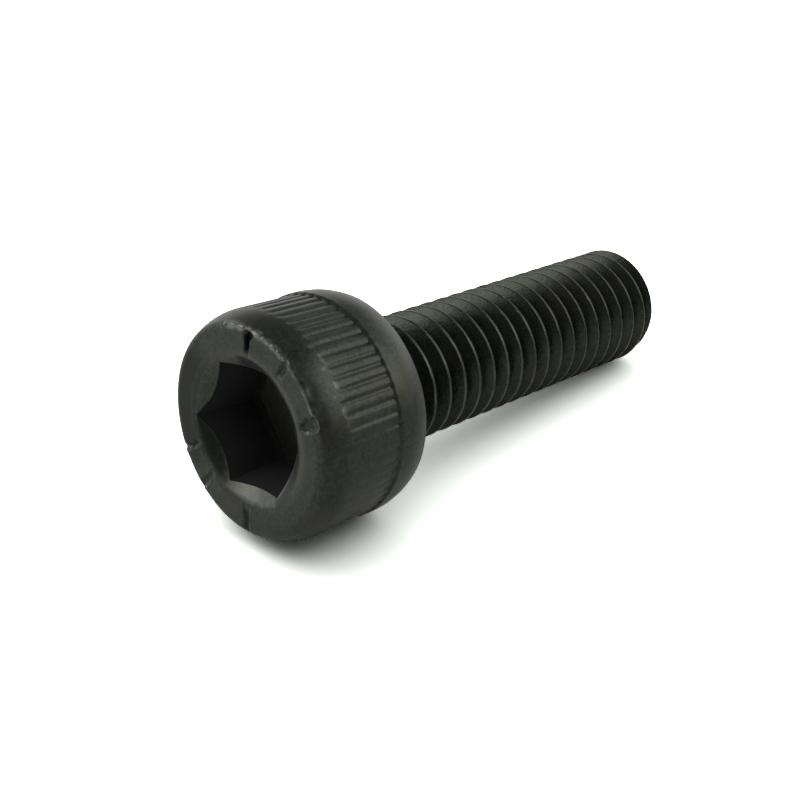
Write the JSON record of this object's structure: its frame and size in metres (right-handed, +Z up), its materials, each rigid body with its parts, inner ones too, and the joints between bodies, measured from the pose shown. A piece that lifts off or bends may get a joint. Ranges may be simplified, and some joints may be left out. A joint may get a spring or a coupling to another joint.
{
  "type": "hex socket head cap screw",
  "caption": "Black oxide cap screw with a knurled cylindrical head, a hexagon socket and a fully threaded metric shank, lying on its side.",
  "frame": {"origin": "middle of the bounding box's underside, on the ground that the screw lies on", "axes": "+X from the head to the tip, level, +Z up; the screw's own axis lies in the XZ plane and dips 6 degrees towards the tip"},
  "size_m": [0.0264, 0.01, 0.0104],
  "materials": {
    "black_steel": "black oxide, satin, worn along the edges"
  },
  "bodies": {
    "root": {"screw": "black_steel"}
  },
  "joints": []
}
